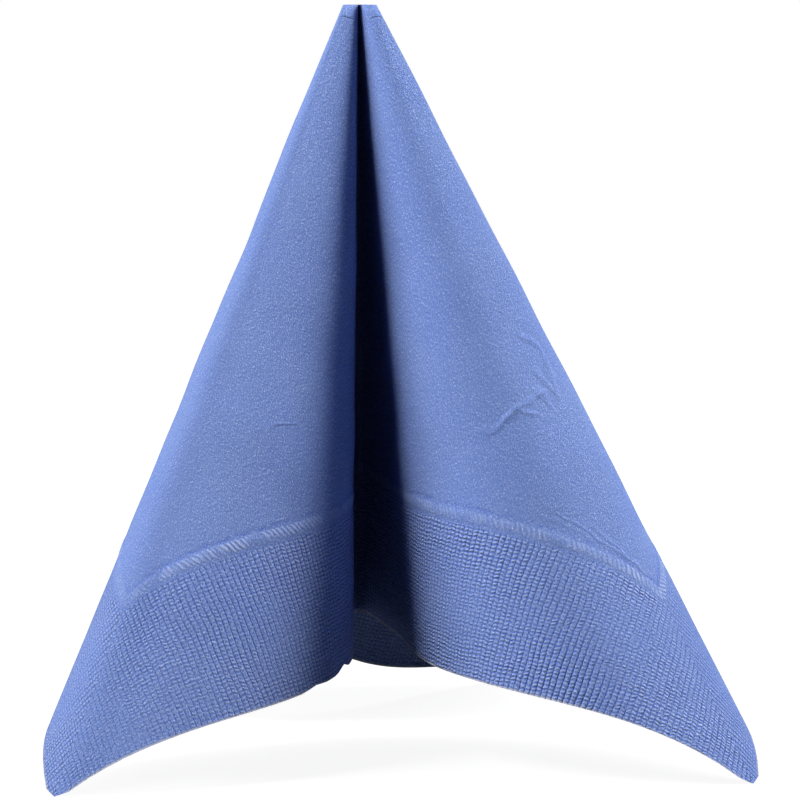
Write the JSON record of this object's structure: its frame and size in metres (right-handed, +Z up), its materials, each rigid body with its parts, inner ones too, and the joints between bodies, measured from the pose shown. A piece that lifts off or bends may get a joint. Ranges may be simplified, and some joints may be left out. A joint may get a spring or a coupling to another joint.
{
  "type": "paper napkin",
  "caption": "Square embossed paper napkin set up as a tent: lifted by its middle, with the edges gathered in and the corners standing as legs.",
  "frame": {"origin": "middle of the part's box, on the table under the legs", "axes": "+Z up from the table to the point, +Y away from the viewer of the front valley, +X to the viewer's right"},
  "size_m": [0.2044, 0.2688, 0.2234],
  "materials": {
    "napkin": "matte"
  },
  "bodies": {
    "root": {"napkin": "napkin"}
  },
  "joints": []
}
